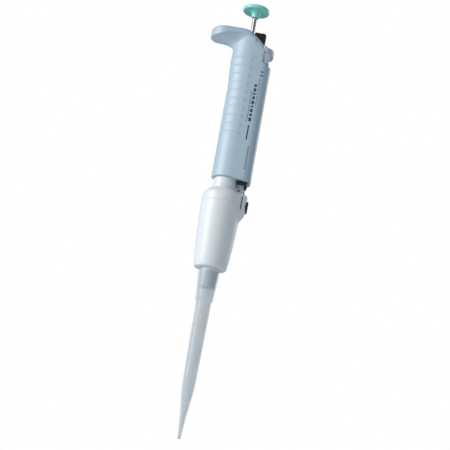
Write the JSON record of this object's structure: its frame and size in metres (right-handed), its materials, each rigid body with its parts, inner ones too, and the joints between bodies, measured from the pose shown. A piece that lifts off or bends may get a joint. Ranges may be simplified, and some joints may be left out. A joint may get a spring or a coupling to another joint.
{
  "type": "adjustable micropipette",
  "caption": "Hand-held adjustable air-displacement pipette with finger hook, push-button plunger, volume lock lever, tip ejector sleeve and a large translucent tip.",
  "frame": {"origin": "centre of the tip's orifice, on the plunger axis", "axes": "+Z along the plunger axis towards the push button, -X towards the finger hook, +X towards the display and the ejector"},
  "size_m": [0.0567, 0.0338, 0.3748],
  "materials": {
    "shell_blue": "satin moulded",
    "mint_plastic": "semi-gloss moulded",
    "white_plastic": "satin moulded",
    "black_plastic": "satin moulded",
    "grey_plastic": "satin moulded",
    "clear_tip": "translucent polypropylene",
    "window_pane": "polished",
    "rod_steel": "ground",
    "spring_steel": "drawn wire",
    "screw_brass": "turned",
    "seal_rubber": "matt"
  },
  "bodies": {
    "housing": {"grip_housing": "shell_blue", "front_cover": "shell_blue", "display_window": "window_pane", "ejector_guide_block": "black_plastic", "rod_bush": "black_plastic", "mechanism_frame": "grey_plastic", "screw_nut": "screw_brass", "counter_spindle": "rod_steel", "pinion_spindle": "rod_steel", "cylinder_collar": "white_plastic", "collar_nut": "grey_plastic", "nozzle_cylinder": "white_plastic", "ejector_spring": "spring_steel", "blowout_spring": "spring_steel"},
    "blowout": {"blowout_plate": "rod_steel"},
    "height": {"return_spring": "spring_steel"},
    "plunger": {"piston": "white_plastic", "piston_seal": "seal_rubber", "piston_rod": "rod_steel", "spring_washer": "rod_steel"},
    "button": {"push_button": "mint_plastic", "button_cap": "mint_plastic", "plunger_rod": "rod_steel"},
    "screw_stop": {"stop_ring": "rod_steel"},
    "screw": {"volume_screw": "screw_brass"},
    "drive_gear": {"drive_gear": "screw_brass"},
    "hundredths": {"hundredths_wheel": "white_plastic", "counter_gear": "white_plastic"},
    "tenths": {"tenths_wheel": "white_plastic"},
    "units": {"units_wheel": "white_plastic"},
    "lower_pinion_body": {"lower_pinion": "grey_plastic"},
    "upper_pinion_body": {"upper_pinion": "grey_plastic"},
    "lock": {"lock_lever": "black_plastic"},
    "ejector": {"ejector_button": "shell_blue", "ejector_rod": "rod_steel", "ejector_clip": "rod_steel", "ejector_link": "grey_plastic", "link_rack": "black_plastic"},
    "sleeve": {"ejector_sleeve": "white_plastic", "sleeve_head": "white_plastic"},
    "adjuster": {"adjusting_dial": "black_plastic"},
    "tip": {"pipette_tip": "clear_tip"}
  },
  "joints": [
    {"name": "blowout_stroke", "type": "slide", "parent": "housing", "child": "blowout", "axis": [0, 0, -1], "range_m": [0, 0.0035], "stiffness_N_per_m": 1800, "springref_m": -0.0035, "deforming": ["blowout_spring"]},
    {"name": "plunger_height", "type": "slide", "parent": "blowout", "child": "height", "axis": [0, 0, 1], "range_m": [-0.00796, 0.00637]},
    {"name": "plunger_press", "type": "slide", "parent": "height", "child": "plunger", "axis": [0, 0, -1], "range_m": [0, 0.00955], "stiffness_N_per_m": 250, "springref_m": -0.01, "deforming": ["return_spring"]},
    {"name": "volume_dial", "type": "hinge", "parent": "plunger", "child": "button", "pos_m": [0, 0, 0.3663], "axis": [0, 0, 1], "range_deg": [-3600.36, 2880.29]},
    {"name": "screw_travel", "type": "slide", "parent": "housing", "child": "screw_stop", "axis": [0, 0, 1], "range_m": [-0.00796, 0.00637]},
    {"name": "screw_turn", "type": "hinge", "parent": "screw_stop", "child": "screw", "pos_m": [0, 0, 0.2537], "axis": [0, 0, 1], "range_deg": [-3600.36, 2880.29]},
    {"name": "drive_gear_turn", "type": "hinge", "parent": "housing", "child": "drive_gear", "pos_m": [0, 0, 0.2855], "axis": [0, 0, 1], "range_deg": [-3600.36, 2880.29]},
    {"name": "hundredths_turn", "type": "hinge", "parent": "housing", "child": "hundredths", "pos_m": [0.0126, 0, 0.291], "axis": [0, 0, 1], "range_deg": [-7200.72, 9000.9]},
    {"name": "tenths_turn", "type": "hinge", "parent": "housing", "child": "tenths", "pos_m": [0.0126, 0, 0.2975], "axis": [0, 0, 1], "range_deg": [-720.07, 900.09]},
    {"name": "units_turn", "type": "hinge", "parent": "housing", "child": "units", "pos_m": [0.0126, 0, 0.304], "axis": [0, 0, 1], "range_deg": [-72.01, 90.01]},
    {"name": "lower_pinion_turn", "type": "hinge", "parent": "housing", "child": "lower_pinion_body", "pos_m": [0.00892, -0.00788, 0.295], "axis": [0, 0, 1], "range_deg": [-2250.22, 1800.18]},
    {"name": "upper_pinion_turn", "type": "hinge", "parent": "housing", "child": "upper_pinion_body", "pos_m": [0.00892, -0.00788, 0.3015], "axis": [0, 0, 1], "range_deg": [-225.02, 180.02]},
    {"name": "volume_lock", "type": "hinge", "parent": "housing", "child": "lock", "pos_m": [0, 0, 0.3508], "axis": [0, 0, 1], "range_deg": [0, 24]},
    {"name": "ejector_press", "type": "slide", "parent": "housing", "child": "ejector", "axis": [0, 0, -1], "range_m": [0, 0.008], "stiffness_N_per_m": 600, "springref_m": -0.006, "deforming": ["ejector_spring"]},
    {"name": "sleeve_adjust", "type": "slide", "parent": "ejector", "child": "sleeve", "axis": [0, 0, 1], "range_m": [-0.0012, 0.0012]},
    {"name": "adjusting_turn", "type": "hinge", "parent": "sleeve", "child": "adjuster", "pos_m": [0.0189, 0, 0.1963], "axis": [1, 0, 0], "range_deg": [-90.01, 90.01]},
    {"name": "tip_push_off", "type": "slide", "parent": "housing", "child": "tip", "axis": [0, 0, -1], "range_m": [0, 0.008]}
  ],
  "couplings": [
    {"joint": "plunger_height", "follows": "screw_travel", "ratio": 1},
    {"joint": "volume_dial", "follows": "screw_travel", "rad_per_m": 7895.7},
    {"joint": "screw_turn", "follows": "screw_travel", "rad_per_m": 7895.7},
    {"joint": "drive_gear_turn", "follows": "screw_travel", "rad_per_m": 7895.7},
    {"joint": "hundredths_turn", "follows": "screw_travel", "rad_per_m": -19739},
    {"joint": "tenths_turn", "follows": "screw_travel", "rad_per_m": -1973.9},
    {"joint": "units_turn", "follows": "screw_travel", "rad_per_m": -197.39},
    {"joint": "lower_pinion_turn", "follows": "screw_travel", "rad_per_m": 4934.8},
    {"joint": "upper_pinion_turn", "follows": "screw_travel", "rad_per_m": 493.48},
    {"joint": "adjusting_turn", "follows": "sleeve_adjust", "rad_per_m": 1309},
    {"joint": "tip_push_off", "follows": "ejector_press", "ratio": 1}
  ]
}
